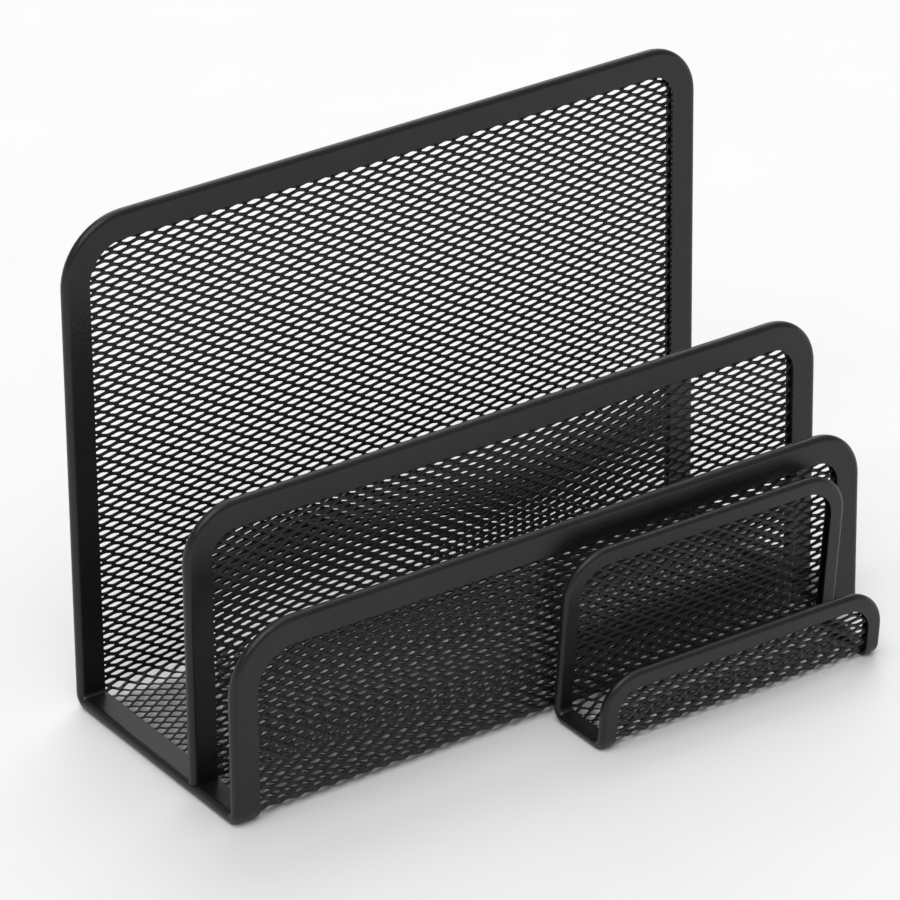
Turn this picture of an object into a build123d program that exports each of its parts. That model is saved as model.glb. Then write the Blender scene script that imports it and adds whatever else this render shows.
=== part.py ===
from build123d import *

import os
from math import cos, radians, sin, tan

# A desk sorter of black steel mesh. Three upright mesh walls of stepped height stand on one mesh floor, and a
# small pocket is fixed to the front wall. Each wall and each open edge is bound with a folded channel.
# X is the width, -Y the front, +Z up. The origin is on the table under the middle of the whole object.

# Driving sizes, in millimetres and degrees.
WIDTH = 183.0
BACK_HEIGHT = 129.5
MIDDLE_HEIGHT = 75.5
FRONT_HEIGHT = 52.0
BACK_SLOT_PITCH = 50.7  # middle of the divider's mesh to middle of the back wall's mesh
FRONT_SLOT_PITCH = 18.5  # middle of the front wall's mesh to middle of the divider's mesh
BACK_CORNERS = (17.2, 13.8)  # radii of the hoop's outer corners: left, right
MIDDLE_CORNERS = (14.0, 14.0)
FRONT_CORNERS = (18.0, 13.5)

MESH_THICKNESS = 1.2  # over the twisted strands
MESH_BEND = 2.5  # bend between a wall and a floor, at the middle of the sheet
GRIP_CLEARANCE = 0.1  # between the mesh and each flange of a channel

RIM_WIDTH = 7.0
RIM_SHEET = 0.8

POCKET_WIDTH = 83.5
POCKET_RIGHT_INSET = 9.0  # sorter's right end to the pocket's right end
POCKET_DEPTH = 18.3  # foot of the pocket's front mesh to foot of its back mesh
POCKET_LEAN = 6.0  # both walls of the pocket lean forward
POCKET_FRONT_HEIGHT = 20.3
POCKET_BACK_HEIGHT = 46.0
POCKET_FRONT_CORNERS = (10.0, 11.5)
POCKET_BACK_CORNERS = (12.3, 12.3)
POCKET_RIM_WIDTH = 4.2
POCKET_RIM_SHEET = 0.6
POCKET_CLEARANCE = 0.1  # front hoop to the foot of the pocket's back hoop

# Thickness over a channel.
GRIP = MESH_THICKNESS + 2 * GRIP_CLEARANCE
RIM_THICKNESS = GRIP + 2 * RIM_SHEET
POCKET_RIM_THICKNESS = GRIP + 2 * POCKET_RIM_SHEET
FLOOR_Z = RIM_THICKNESS / 2
POCKET_FLOOR_Z = POCKET_RIM_THICKNESS / 2


def bend_rise(turn):
    """How far a bend of that many degrees lifts the middle of the sheet above the floor's middle."""
    return MESH_BEND * (1 - cos(radians(turn)))


def bend_reach(turn):
    """How far a bend of that many degrees reaches beyond the end of the flat floor."""
    return MESH_BEND * sin(radians(turn))


# Where the feet of the walls stand, front to back. The whole depth is centred on the origin.
POCKET_FRONT_RISE = POCKET_FRONT_HEIGHT - POCKET_FLOOR_Z - bend_rise(90 - POCKET_LEAN)
POCKET_OVERHANG = (
    POCKET_FRONT_RISE * tan(radians(POCKET_LEAN))
    + POCKET_RIM_THICKNESS / 2 * (1 - sin(radians(POCKET_LEAN)))
)
POCKET_BACK_SETOFF = RIM_THICKNESS / 2 + POCKET_CLEARANCE + POCKET_RIM_THICKNESS / 2
REACH_FORWARD = POCKET_BACK_SETOFF + POCKET_DEPTH + POCKET_OVERHANG
REACH_BACK = FRONT_SLOT_PITCH + BACK_SLOT_PITCH + RIM_THICKNESS / 2
FRONT_Y = (REACH_FORWARD - REACH_BACK) / 2
MIDDLE_Y = FRONT_Y + FRONT_SLOT_PITCH
BACK_Y = MIDDLE_Y + BACK_SLOT_PITCH
POCKET_BACK_Y = FRONT_Y - POCKET_BACK_SETOFF
POCKET_FRONT_Y = POCKET_BACK_Y - POCKET_DEPTH
POCKET_X = WIDTH / 2 - POCKET_RIGHT_INSET - POCKET_WIDTH / 2


class Wall:
    """An upright wall: its foot is at depth y and height foot_z, and lean tips its top forward."""

    def __init__(self, x, y, foot_z, top_z, width, corners, lean=0.0):
        up = Vector(0, -sin(radians(lean)), cos(radians(lean)))
        across = Vector(1, 0, 0)
        self.plane = Plane(origin=(x, y, foot_z), x_dir=across, z_dir=across.cross(up))
        self.height = (top_z - foot_z) / cos(radians(lean))
        self.width = width
        self.left_corner, self.right_corner = corners


def folded_edge(width, half_thickness):
    """Outline of a folded edge seen end on: half a circle at X 0, then two flat flanks up to X = width."""
    nose = CenterArc((half_thickness, 0), half_thickness, 90, 180)
    flanks = Polyline(
        (half_thickness, -half_thickness),
        (width, -half_thickness),
        (width, half_thickness),
        (half_thickness, half_thickness),
    )
    return make_face(nose + flanks)


def channel(width, thickness, sheet):
    """Section of a folded channel: its fold is at X 0 and its open mouth, where the mesh goes in, at X = width."""
    hollow = Pos(sheet, 0) * folded_edge(width, thickness / 2 - sheet)
    return folded_edge(width, thickness / 2) - hollow


def wall_edge(wall, inset=0.0):
    """The wall's left side, top and right side as one line, moved inwards by inset."""
    side = wall.width / 2 - inset
    top = wall.height - inset
    left_corner = wall.left_corner - inset
    right_corner = wall.right_corner - inset
    return Curve() + [
        Line((-side, 0), (-side, top - left_corner)),
        CenterArc((-side + left_corner, top - left_corner), left_corner, 180, -90),
        Line((-side + left_corner, top), (side - right_corner, top)),
        CenterArc((side - right_corner, top - right_corner), right_corner, 90, -90),
        Line((side, top - right_corner), (side, 0)),
    ]


def hoop(section, wall):
    """A channel bent round the two sides and the top of a wall, with its mouth inwards."""
    start = wall.plane.from_local_coords((-wall.width / 2, 0, 0))
    across = Plane(origin=start, x_dir=wall.plane.x_dir, z_dir=wall.plane.y_dir)
    return sweep(across * section, path=wall.plane * wall_edge(wall))


def mesh_wall(wall, inset):
    """The flat mesh of a wall, whose sides and top lie inset inside its hoop."""
    side = wall.width / 2 - inset
    outline = make_face(wall_edge(wall, inset) + Line((side, 0), (-side, 0)))
    return extrude(wall.plane * outline, MESH_THICKNESS / 2, both=True)


class Floor:
    """A floor between the feet of two walls. The turns are how far the sheet bends up into each wall."""

    def __init__(self, front_y, back_y, middle_z, lean=0.0):
        self.front_y = front_y
        self.back_y = back_y
        self.middle_z = middle_z
        self.front_turn = 90 - lean
        self.back_turn = 90 + lean
        self.front_foot = middle_z + bend_rise(self.front_turn)
        self.back_foot = middle_z + bend_rise(self.back_turn)

    def path(self, x):
        """From the foot of the front wall, round the bend, along the floor and up to the back wall's foot."""
        front_end = self.front_y + bend_reach(self.front_turn)
        back_end = self.back_y - bend_reach(self.back_turn)
        centre_z = self.middle_z + MESH_BEND
        side_plane = Plane(origin=(x, 0, 0), x_dir=(0, 1, 0), z_dir=(1, 0, 0))
        line = Curve() + [
            CenterArc((front_end, centre_z), MESH_BEND, 270 - self.front_turn, self.front_turn),
            Line((front_end, self.middle_z), (back_end, self.middle_z)),
            CenterArc((back_end, centre_z), MESH_BEND, 270, self.back_turn),
        ]
        return side_plane * line

    def along(self, section, x):
        """The section swept from foot to foot. The section's X runs across the floor, from x."""
        path = self.path(x)
        across = Plane(origin=path @ 0, x_dir=(1, 0, 0), z_dir=path % 0)
        return sweep(across * section, path=path)


def divider_mesh(wall, inset):
    """The divider's mesh. Between the floor's rails it comes down to the floor's mesh."""
    floor_top = FLOOR_Z + MESH_THICKNESS / 2
    skirt = Box(
        WIDTH - 2 * RIM_WIDTH - 2 * GRIP_CLEARANCE,
        MESH_THICKNESS,
        RIM_THICKNESS - floor_top,
        align=(Align.CENTER, Align.CENTER, Align.MIN),
    )
    return mesh_wall(wall, inset) + Pos(0, MIDDLE_Y, floor_top) * skirt


def sorter_parts():
    """The large frame: three walls, their hoops, and the floor with its two rails."""
    inset = RIM_THICKNESS / 2
    section = channel(RIM_WIDTH, RIM_THICKNESS, RIM_SHEET)
    floor = Floor(FRONT_Y, BACK_Y, FLOOR_Z)
    back = Wall(0, BACK_Y, floor.back_foot, BACK_HEIGHT, WIDTH, BACK_CORNERS)
    middle = Wall(0, MIDDLE_Y, RIM_THICKNESS, MIDDLE_HEIGHT, WIDTH, MIDDLE_CORNERS)
    front = Wall(0, FRONT_Y, floor.front_foot, FRONT_HEIGHT, WIDTH, FRONT_CORNERS)
    left_rail = floor.along(section, -WIDTH / 2)
    return {
        "back_mesh": mesh_wall(back, inset),
        "back_rim": hoop(section, back),
        "middle_mesh": divider_mesh(middle, inset),
        "middle_rim": hoop(section, middle),
        "front_mesh": mesh_wall(front, inset),
        "front_rim": hoop(section, front),
        "floor_mesh": floor.along(Rectangle(WIDTH - 2 * inset, MESH_THICKNESS), 0),
        "left_floor_rail": left_rail,
        "right_floor_rail": mirror(left_rail, about=Plane.YZ),
    }


def pocket_parts():
    """The small pocket in front: its back wall, its low front wall, and its floor with two rails."""
    inset = POCKET_RIM_THICKNESS / 2
    section = channel(POCKET_RIM_WIDTH, POCKET_RIM_THICKNESS, POCKET_RIM_SHEET)
    floor = Floor(POCKET_FRONT_Y, POCKET_BACK_Y, POCKET_FLOOR_Z, POCKET_LEAN)
    back = Wall(
        POCKET_X,
        POCKET_BACK_Y,
        floor.back_foot,
        POCKET_BACK_HEIGHT,
        POCKET_WIDTH,
        POCKET_BACK_CORNERS,
        POCKET_LEAN,
    )
    front = Wall(
        POCKET_X,
        POCKET_FRONT_Y,
        floor.front_foot,
        POCKET_FRONT_HEIGHT,
        POCKET_WIDTH,
        POCKET_FRONT_CORNERS,
        POCKET_LEAN,
    )
    left_rail = floor.along(section, POCKET_X - POCKET_WIDTH / 2)
    return {
        "pocket_back_mesh": mesh_wall(back, inset),
        "pocket_back_rim": hoop(section, back),
        "pocket_front_mesh": mesh_wall(front, inset),
        "pocket_front_rim": hoop(section, front),
        "pocket_floor_mesh": floor.along(
            Rectangle(POCKET_WIDTH - 2 * inset, MESH_THICKNESS), POCKET_X
        ),
        "pocket_left_rail": left_rail,
        "pocket_right_rail": mirror(left_rail, about=Plane.YZ.offset(POCKET_X)),
    }


os.makedirs("parts", exist_ok=True)
for name, piece in {**sorter_parts(), **pocket_parts()}.items():
    piece.label = name
    export_step(piece, f"parts/{name}.step")
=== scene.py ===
from math import asin, cos, pi, radians, sin, tan

import bpy
import numpy as np
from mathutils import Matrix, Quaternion, Vector
from mathutils.geometry import convex_hull_2d


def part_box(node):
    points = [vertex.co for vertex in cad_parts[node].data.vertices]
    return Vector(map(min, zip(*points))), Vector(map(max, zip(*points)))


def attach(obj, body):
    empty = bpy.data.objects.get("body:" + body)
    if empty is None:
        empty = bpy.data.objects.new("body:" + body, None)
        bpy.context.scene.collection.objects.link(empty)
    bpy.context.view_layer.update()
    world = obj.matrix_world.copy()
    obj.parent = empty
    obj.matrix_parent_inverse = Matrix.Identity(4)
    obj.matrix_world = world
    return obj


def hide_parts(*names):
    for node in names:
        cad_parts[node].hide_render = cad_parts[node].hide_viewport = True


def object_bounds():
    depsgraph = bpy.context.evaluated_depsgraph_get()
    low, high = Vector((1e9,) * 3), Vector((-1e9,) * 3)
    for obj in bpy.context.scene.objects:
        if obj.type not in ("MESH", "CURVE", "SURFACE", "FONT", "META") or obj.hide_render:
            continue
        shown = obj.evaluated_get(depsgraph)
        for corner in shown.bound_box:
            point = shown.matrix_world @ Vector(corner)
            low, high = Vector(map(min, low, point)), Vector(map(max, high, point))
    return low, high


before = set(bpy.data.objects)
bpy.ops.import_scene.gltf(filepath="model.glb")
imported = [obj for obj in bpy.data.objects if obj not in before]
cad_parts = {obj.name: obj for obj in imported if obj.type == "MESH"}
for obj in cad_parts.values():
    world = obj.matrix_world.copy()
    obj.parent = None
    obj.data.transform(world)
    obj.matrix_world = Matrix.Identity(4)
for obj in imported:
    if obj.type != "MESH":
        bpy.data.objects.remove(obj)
cad_low, cad_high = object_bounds()

# Sizes are in metres and angles in radians.
MM = 0.001

# The sorter's open mesh is expanded steel: slit sheet pulled open, so that flat strands meet at bonds.
# The strands stay tilted, as the slats of a blind do.
PITCH_ACROSS = 5.0 * MM  # one opening to the next, along the row
PITCH_ALONG = 3.15 * MM  # one opening to the next, up the sheet
STRAND_WIDTH = 0.86 * MM
STRAND_SHEET = 0.46 * MM
STRAND_TILT = radians(-23)
BOND_HALF_LENGTH = 0.6 * MM  # half the solid stretch between two openings of one row
FLAT_HALF_LENGTH = 0.36 * MM  # half the level edge above and below an opening
TIP_HALF_HEIGHT = 0.13 * MM  # half the upright edge at each end of an opening
EDGE_ROUNDING = 0.18 * MM  # how far the coated edge of a strand swells into the opening

# The camera stands where the photograph was taken from.
CAMERA_AZIMUTH = radians(-34.0)
CAMERA_ELEVATION = radians(28.07)
CAMERA_ROLL = radians(-0.62)
CAMERA_DISTANCE = 1617.3 * MM
CAMERA_LENS_MM = 275.5
CAMERA_SENSOR_MM = 36.0
CAMERA_AIM = Vector((-25.1, -17.95, 77.9)) * MM

# How bright the studio is around the sorter: the sine of the angle above the horizon, and the brightness.
STUDIO_BRIGHTNESS = [(0.0, 0.94), (0.05, 0.92), (0.2, 0.28), (0.65, 0.38), (1.0, 0.88)]
LIGHT_SPREAD = radians(50)
KEY_AZIMUTH = radians(-60)
KEY_ELEVATION = radians(62)
KEY_STRENGTH = 1.25
BACK_AZIMUTH = radians(146)
BACK_ELEVATION = radians(40)
BACK_STRENGTH = 1.1

# The studio's floor is matt, with a faint mottle between two greys.
FLOOR_WIDTH = 12.0
FLOOR_GREYS = (0.86, 0.88)
FLOOR_ROUGHNESS = 0.7
MOTTLE_SIZE = 60 * MM

# Black satin powder coat. Strands and channels share its gloss, its clouds and its grains.
COAT_ROUGHNESS = (0.28, 0.42)
COAT_SPECULAR = 0.42
CLOUD_SIZE = 22 * MM
GRAIN_SIZE = 0.28 * MM
GRAIN_STRENGTH = 0.5
PEEL_STRENGTH = 0.6
NOISE_MIDDLE = (0.3, 0.7)  # the values that noise mostly keeps to
# Each has its own two greys, and its own size and depth of orange peel.
MESH_GREYS = (0.0045, 0.0075)
MESH_PEEL_SIZE = 0.5 * MM
MESH_PEEL_DEPTH = 0.03 * MM
RIM_GREYS = (0.005, 0.008)
RIM_PEEL_SIZE = 0.8 * MM
RIM_PEEL_DEPTH = 0.1 * MM

RIM_NODES = [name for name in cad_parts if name.endswith(("_rim", "_rail"))]


# ---------------------------------------------------------------- the shape of the sheets


def largest_facet_normal(node):
    """Normal of the largest facet of a CAD sheet, which lies on one of its two flat faces."""
    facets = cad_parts[node].data.polygons
    return max(facets, key=lambda facet: facet.area).normal


def corners_of(node):
    """All the vertices of a CAD node, one row each."""
    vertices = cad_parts[node].data.vertices
    points = np.empty(len(vertices) * 3)
    vertices.foreach_get("co", points)
    return points.reshape(-1, 3)


class FoldedSheet:
    """One sheet that runs down a front wall, round a bend, along a floor, round a bend and up a back wall.

    A place on it is u across, v along from the foot of the front wall, and rise above its middle, inwards.
    """

    def __init__(self, floor_node, wall_node, thickness):
        low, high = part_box(floor_node)
        half = thickness / 2
        self.lean = asin(min(abs(largest_facet_normal(wall_node).z), 1.0))
        self.bend = (high.z - low.z - half * (1 + sin(self.lean))) / (1 + sin(self.lean))
        self.middle_u = (low.x + high.x) / 2
        self.centre_z = low.z + half + self.bend
        self.centres_y = (
            low.y + (self.bend + half) * cos(self.lean),
            high.y - (self.bend + half),
        )
        front_arc = self.bend * (pi / 2 - self.lean)
        flat = self.centres_y[1] - self.centres_y[0]
        back_arc = self.bend * (pi / 2 + self.lean)
        self.knots = np.cumsum([0, front_arc, flat, back_arc])
        self.length = self.knots[-1]

    def directions(self, v):
        """Unit vectors in the Y-Z plane at v: along the sheet, and its inner normal."""
        angle = np.interp(v, self.knots, [self.lean, pi / 2, pi / 2, pi + self.lean])
        along = np.stack([np.sin(angle), -np.cos(angle)], axis=-1)
        normal = np.stack([np.cos(angle), np.sin(angle)], axis=-1)
        return along, normal

    def place(self, u, v, rise):
        along, normal = self.directions(v)
        beyond = np.minimum(v, 0) + np.maximum(v - self.length, 0)
        centre_y = np.interp(v, self.knots[1:3], self.centres_y)
        y = centre_y - (self.bend - rise) * normal[:, 0] + beyond * along[:, 0]
        z = self.centre_z - (self.bend - rise) * normal[:, 1] + beyond * along[:, 1]
        return np.stack([u, y, z], axis=-1)

    def along_wall(self, node, end_v):
        """(u, v) of each vertex of a wall that starts at end_v, which is 0 or the floor's length."""
        along, _ = self.directions(np.array([end_v]))
        foot = self.place(np.array([0.0]), np.array([end_v]), 0.0)[0]
        points = corners_of(node)
        return np.stack([points[:, 0], end_v + (points[:, 1:] - foot[1:]) @ along[0]], axis=-1)


class UprightSheet:
    """A flat upright sheet. u runs across it, v up from its foot, and rise towards the front."""

    def __init__(self, node):
        low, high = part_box(node)
        self.middle_u = (low.x + high.x) / 2
        self.y = (low.y + high.y) / 2
        self.foot_z = low.z

    def place(self, u, v, rise):
        return np.stack([u, self.y - rise, self.foot_z + v], axis=-1)

    def outline(self, node):
        points = corners_of(node)
        return np.stack([points[:, 0], points[:, 2] - self.foot_z], axis=-1)


def convex_outline(points):
    """The corners of the convex outline round some points of a plane, in order."""
    return points[convex_hull_2d([tuple(point) for point in points])]


def inside(points, outline):
    """Which points lie within a convex outline."""
    edges = np.roll(outline, -1, axis=0) - outline
    away = points[..., None, :] - outline
    sides = edges[:, 0] * away[..., 1] - edges[:, 1] * away[..., 0]
    return np.all(sides >= 0, axis=-1) | np.all(sides <= 0, axis=-1)


# ---------------------------------------------------------------- the pattern of the mesh

BOND_HALF_HEIGHT = STRAND_WIDTH * cos(STRAND_TILT)
BOND_CORNERS = np.array([
    (-BOND_HALF_LENGTH, -TIP_HALF_HEIGHT),
    (-FLAT_HALF_LENGTH, -BOND_HALF_HEIGHT),
    (FLAT_HALF_LENGTH, -BOND_HALF_HEIGHT),
    (BOND_HALF_LENGTH, -TIP_HALF_HEIGHT),
    (BOND_HALF_LENGTH, TIP_HALF_HEIGHT),
    (FLAT_HALF_LENGTH, BOND_HALF_HEIGHT),
    (-FLAT_HALF_LENGTH, BOND_HALF_HEIGHT),
    (-BOND_HALF_LENGTH, TIP_HALF_HEIGHT),
])
BOND_QUADS = [(0, 1, 6, 7), (1, 2, 5, 6), (2, 3, 4, 5)]
# A strand joins two corners of one bond to two corners of a bond in the next row up.
RISING_STRAND = ((5, 4), (1, 0))
FALLING_STRAND = ((7, 6), (3, 2))


def flat_pattern(sheet, outline):
    """The corners (u, v, height above the bond's row) and quads of the mesh inside an outline.

    Only whole bonds and strands are kept, so the ragged edge stays inside the channels.
    """
    step_v = PITCH_ALONG / 2
    (low_u, low_v), (high_u, high_v) = outline.min(axis=0), outline.max(axis=0)
    reach = int((high_u - low_u) / 2 / PITCH_ACROSS) + 2
    bonds = {}
    for row in range(int(low_v / step_v) - 2, int(high_v / step_v) + 3):
        shift = row % 2 / 2
        for column in range(-reach, reach + 1):
            bonds[row, column] = (sheet.middle_u + (column + shift) * PITCH_ACROSS, row * step_v)

    def corner(bond, number):
        return tuple(np.array(bonds[bond]) + BOND_CORNERS[number])

    quads = []
    for (row, column) in bonds:
        for quad in BOND_QUADS:
            quads.append([((row, column), number) for number in quad])
        for strand, side in ((RISING_STRAND, row % 2), (FALLING_STRAND, row % 2 - 1)):
            above = (row + 1, column + side)
            if above in bonds:
                lower = [((row, column), number) for number in strand[0]]
                upper = [(above, number) for number in strand[1]]
                quads.append(lower + upper)
    places = np.array([[corner(*key) for key in quad] for quad in quads])
    kept = inside(places, outline).all(axis=1)
    quads = [quad for quad, keep in zip(quads, kept) if keep]
    keys = sorted({key for quad in quads for key in quad})
    index = {key: number for number, key in enumerate(keys)}
    corners = np.array([(*corner(*key), BOND_CORNERS[key[1]][1]) for key in keys])
    return corners, np.array([[index[key] for key in quad] for quad in quads])


def open_edges(quads):
    """The edges with a quad on one side only, each in the direction in which its quad runs."""
    edges = np.concatenate([np.stack([quads[:, i], quads[:, (i + 1) % 4]], axis=1) for i in range(4)])
    seen = {tuple(edge) for edge in edges}
    return np.array([edge for edge in edges if (edge[1], edge[0]) not in seen])


def outward(corners, edges):
    """For each corner, the direction in the flat sheet that points out of the metal."""
    run = corners[edges[:, 1], :2] - corners[edges[:, 0], :2]
    normals = np.stack([run[:, 1], -run[:, 0]], axis=1)
    normals /= np.linalg.norm(normals, axis=1, keepdims=True)
    total = np.zeros((len(corners), 2))
    np.add.at(total, edges[:, 0], normals)
    np.add.at(total, edges[:, 1], normals)
    size = np.linalg.norm(total, axis=1, keepdims=True)
    return np.divide(total, size, out=np.zeros_like(total), where=size > 0)


def sharpen(data, faces):
    """Keeps the edges of some faces from being shaded as round."""
    sharp = {frozenset(edge) for face in faces.tolist() for edge in zip(face, face[1:] + face[:1])}
    for edge in data.edges:
        edge.use_edge_sharp = frozenset(edge.vertices) in sharp


def expanded_mesh(name, sheet, outline, low_v, high_v):
    """The mesh between low_v and high_v as one solid: an inner and an outer face, and swollen edges.

    Where the same sheet carries on in the next piece, the cut is flat and both pieces meet in it.
    """
    corners, quads = flat_pattern(sheet, outline)
    sheet_edges = open_edges(quads)
    push = outward(corners, sheet_edges) * EDGE_ROUNDING / 2
    mean_v = corners[quads, 1].mean(axis=1)
    used, quads = np.unique(quads[(mean_v >= low_v) & (mean_v < high_v)], return_inverse=True)
    corners, push, quads = corners[used], push[used], quads.reshape(-1, 4)
    edges = open_edges(quads)
    rise = corners[:, 2] * tan(STRAND_TILT)
    half = STRAND_SHEET / 2
    layers = []
    for side, swell in ((1, -1), (0, 1), (-1, -1)):
        u = corners[:, 0] + swell * push[:, 0]
        v = corners[:, 1] + swell * push[:, 1] - side * half * sin(STRAND_TILT)
        layers.append(sheet.place(u, v, rise + side * half * cos(STRAND_TILT)))
    count = len(corners)
    inner, outer = quads, quads[:, ::-1] + 2 * count
    a, b = edges[:, 0], edges[:, 1]
    inner_half = np.stack([b, a, a + count, b + count], axis=1)
    faces = np.concatenate([inner, outer, inner_half, inner_half + count])
    data = bpy.data.meshes.new(name)
    data.from_pydata(np.concatenate(layers).tolist(), [], faces.tolist())
    data.shade_smooth()
    data.validate()
    whole = {tuple(edge) for edge in sheet_edges}
    cut = np.array([(used[start], used[end]) not in whole for start, end in edges])
    sharpen(data, np.concatenate([inner_half[cut], inner_half[cut] + count]))
    piece = bpy.data.objects.new(name, data)
    bpy.context.scene.collection.objects.link(piece)
    return piece


def wall_outline(sheet, node, end_v):
    """A wall's outline, drawn on past the foot, where the floor's mesh carries on."""
    points = sheet.along_wall(node, end_v)
    foot = points[np.abs(points[:, 1] - end_v) < PITCH_ALONG / 2].copy()
    foot[:, 1] += PITCH_ALONG if end_v == 0 else -PITCH_ALONG
    return convex_outline(np.concatenate([points, foot]))


def floor_outline(sheet, node):
    """A floor's outline as it would lie flat, drawn on past both of its feet."""
    low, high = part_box(node)
    start, end = -PITCH_ALONG, sheet.length + PITCH_ALONG
    return np.array([(low.x, start), (high.x, start), (high.x, end), (low.x, end)])


def folded_meshes(prefix, thickness):
    """The front wall's, the floor's and the back wall's mesh of one folded sheet."""
    front, floor, back = (f"{prefix}{part}_mesh" for part in ("front", "floor", "back"))
    sheet = FoldedSheet(floor, back, thickness)
    front_outline = wall_outline(sheet, front, 0)
    back_outline = wall_outline(sheet, back, sheet.length)
    return {
        front: expanded_mesh(f"{front}_open", sheet, front_outline, front_outline[:, 1].min(), 0),
        floor: expanded_mesh(f"{floor}_open", sheet, floor_outline(sheet, floor), 0, sheet.length),
        back: expanded_mesh(f"{back}_open", sheet, back_outline, sheet.length, back_outline[:, 1].max()),
    }


def divider_mesh():
    """The mesh of the divider, which stands on the floor by itself."""
    sheet = UprightSheet("middle_mesh")
    outline = convex_outline(sheet.outline("middle_mesh"))
    return expanded_mesh("middle_mesh_open", sheet, outline, 0, outline[:, 1].max())


# ---------------------------------------------------------------- materials


def set_ramp(node, stops):
    """Gives a colour ramp node its stops: (position, grey)."""
    elements = node.color_ramp.elements
    while len(elements) < len(stops):
        elements.new(1.0)
    for element, (position, grey) in zip(elements, stops):
        element.position = position
        element.color = (grey, grey, grey, 1.0)


class NodeMaterial:
    """A material whose nodes are added one after another."""

    def __init__(self, name):
        self.material = bpy.data.materials.new(name)
        self.material.use_nodes = True
        self.tree = self.material.node_tree
        self.shader = self.tree.nodes["Principled BSDF"]
        self.place = self.add("ShaderNodeTexCoord").outputs["Object"]

    def add(self, kind):
        return self.tree.nodes.new(kind)

    def link(self, source, target):
        self.tree.links.new(source, target)

    def noise(self, size, detail, roughness=0.5):
        """Noise whose lumps are about size across, in metres."""
        node = self.add("ShaderNodeTexNoise")
        node.inputs["Scale"].default_value = 1 / size
        node.inputs["Detail"].default_value = detail
        node.inputs["Roughness"].default_value = roughness
        self.link(self.place, node.inputs["Vector"])
        return node.outputs["Fac"]

    def ramp(self, value, stops):
        """Greys along a value: stops are (position, grey)."""
        node = self.add("ShaderNodeValToRGB")
        set_ramp(node, stops)
        self.link(value, node.inputs["Fac"])
        return node.outputs["Color"]

    def range(self, value, low, high):
        """The middle values of a noise, stretched from low to high."""
        node = self.add("ShaderNodeMapRange")
        node.inputs["From Min"].default_value, node.inputs["From Max"].default_value = NOISE_MIDDLE
        node.inputs["To Min"].default_value = low
        node.inputs["To Max"].default_value = high
        self.link(value, node.inputs["Value"])
        return node.outputs["Result"]

    def bump(self, height, distance, strength, before=None):
        node = self.add("ShaderNodeBump")
        node.inputs["Distance"].default_value = distance
        node.inputs["Strength"].default_value = strength
        self.link(height, node.inputs["Height"])
        if before is not None:
            self.link(before, node.inputs["Normal"])
        return node.outputs["Normal"]


def powder_coat(name, greys, peel_size, peel_depth):
    """Black satin powder coat: cloudy near-black colour, grainy gloss, and the skin of an orange."""
    made = NodeMaterial(name)
    dark, light = greys
    clouds = made.noise(CLOUD_SIZE, detail=4.0)
    grains = made.noise(GRAIN_SIZE, detail=3.0, roughness=0.6)
    peel = made.noise(peel_size, detail=1.0)
    made.link(made.ramp(clouds, [(0.35, dark), (0.65, light)]), made.shader.inputs["Base Color"])
    made.link(made.range(grains, *COAT_ROUGHNESS), made.shader.inputs["Roughness"])
    skin = made.bump(peel, peel_depth, PEEL_STRENGTH)
    surface = made.bump(grains, peel_depth / 3, GRAIN_STRENGTH, before=skin)
    made.link(surface, made.shader.inputs["Normal"])
    made.shader.inputs["Specular IOR Level"].default_value = COAT_SPECULAR
    return made.material


def pale_floor():
    """A matt pale studio floor with a faint mottle."""
    made = NodeMaterial("studio_floor")
    mottle = made.noise(MOTTLE_SIZE, detail=3.0)
    greys = made.ramp(mottle, list(zip(NOISE_MIDDLE, FLOOR_GREYS)))
    made.link(greys, made.shader.inputs["Base Color"])
    made.shader.inputs["Roughness"].default_value = FLOOR_ROUGHNESS
    return made.material


# ---------------------------------------------------------------- the studio


def direction_to(azimuth, elevation):
    """Unit vector from the sorter towards a light or the camera."""
    level = cos(elevation)
    return Vector((sin(azimuth) * level, -cos(azimuth) * level, sin(elevation)))


def studio_floor():
    bpy.ops.mesh.primitive_plane_add(size=FLOOR_WIDTH, location=(0, 0, cad_low.z))
    floor = bpy.context.object
    floor.name = "studio_floor"
    floor.data.materials.append(pale_floor())


def soft_sun(name, azimuth, elevation, strength):
    """A distant soft light. Azimuth is 0 in front of the sorter and a quarter turn at its right end."""
    light = bpy.data.lights.new(name, "SUN")
    light.angle = LIGHT_SPREAD
    light.energy = strength
    lamp = bpy.data.objects.new(name, light)
    lamp.rotation_euler = (-direction_to(azimuth, elevation)).to_track_quat("-Z", "Y").to_euler()
    bpy.context.scene.collection.objects.link(lamp)


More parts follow.
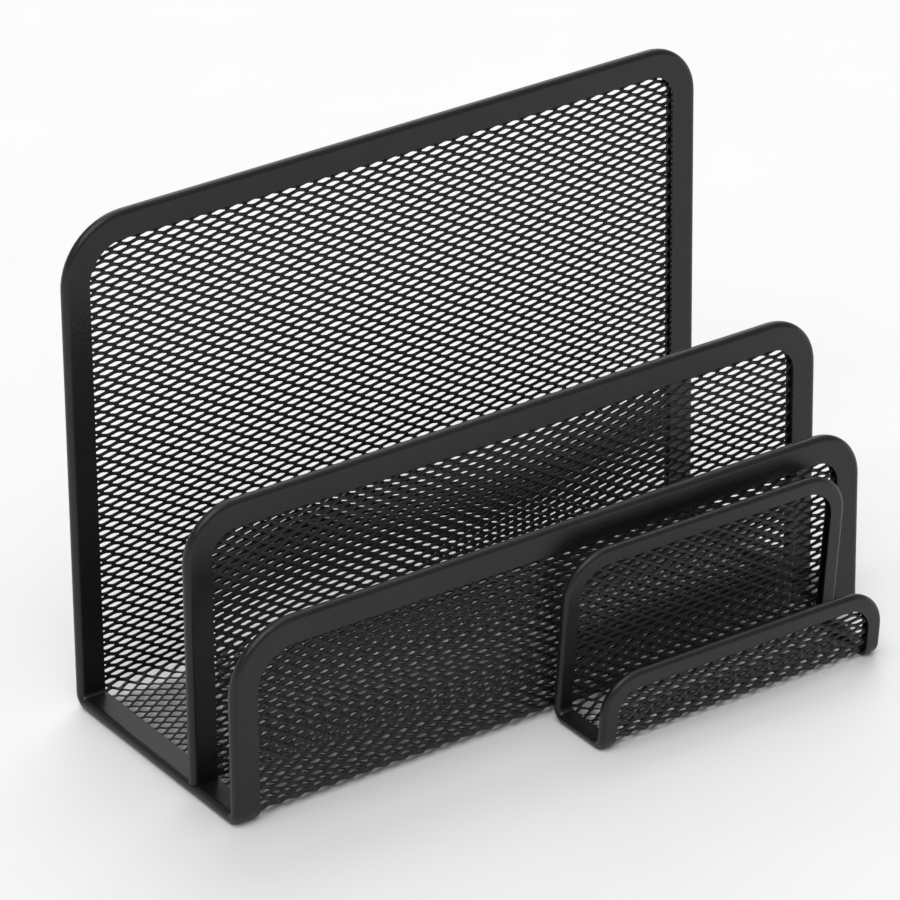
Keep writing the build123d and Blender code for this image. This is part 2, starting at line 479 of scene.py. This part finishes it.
def studio_world():
    """A pale backdrop at the horizon, dimmer walls above it, and a bright ceiling."""
    world = bpy.data.worlds.new("studio")
    world.use_nodes = True
    tree = world.node_tree
    place = tree.nodes.new("ShaderNodeTexCoord")
    split = tree.nodes.new("ShaderNodeSeparateXYZ")
    ramp = tree.nodes.new("ShaderNodeValToRGB")
    set_ramp(ramp, STUDIO_BRIGHTNESS)
    tree.links.new(place.outputs["Generated"], split.inputs["Vector"])
    tree.links.new(split.outputs["Z"], ramp.inputs["Fac"])
    tree.links.new(ramp.outputs["Color"], tree.nodes["Background"].inputs["Color"])
    bpy.context.scene.world = world


def studio_light():
    studio_world()
    soft_sun("key_light", KEY_AZIMUTH, KEY_ELEVATION, KEY_STRENGTH)
    soft_sun("back_light", BACK_AZIMUTH, BACK_ELEVATION, BACK_STRENGTH)
    bpy.context.scene.view_settings.view_transform = "Standard"


def camera():
    data = bpy.data.cameras.new("camera")
    data.sensor_width = CAMERA_SENSOR_MM
    data.lens = CAMERA_LENS_MM
    eye = bpy.data.objects.new("camera", data)
    back = direction_to(CAMERA_AZIMUTH, CAMERA_ELEVATION)
    eye.location = CAMERA_AIM + back * CAMERA_DISTANCE
    eye.rotation_mode = "QUATERNION"
    eye.rotation_quaternion = (-back).to_track_quat("-Z", "Y") @ Quaternion((0, 0, 1), CAMERA_ROLL)
    bpy.context.scene.collection.objects.link(eye)
    bpy.context.scene.camera = eye


# ---------------------------------------------------------------- the scene

camera()
studio_light()
studio_floor()

front_low, front_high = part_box("front_mesh")
mesh_thickness = front_high.y - front_low.y
meshes = {**folded_meshes("", mesh_thickness), **folded_meshes("pocket_", mesh_thickness)}
meshes["middle_mesh"] = divider_mesh()

mesh_coat = powder_coat("mesh_coat", MESH_GREYS, MESH_PEEL_SIZE, MESH_PEEL_DEPTH)
for node, piece in meshes.items():
    piece.data.materials.append(mesh_coat)
    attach(piece, "root")
    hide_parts(node)

rim_coat = powder_coat("rim_coat", RIM_GREYS, RIM_PEEL_SIZE, RIM_PEEL_DEPTH)
for node in RIM_NODES:
    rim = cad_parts[node]
    rim.data.materials.clear()
    rim.data.materials.append(rim_coat)
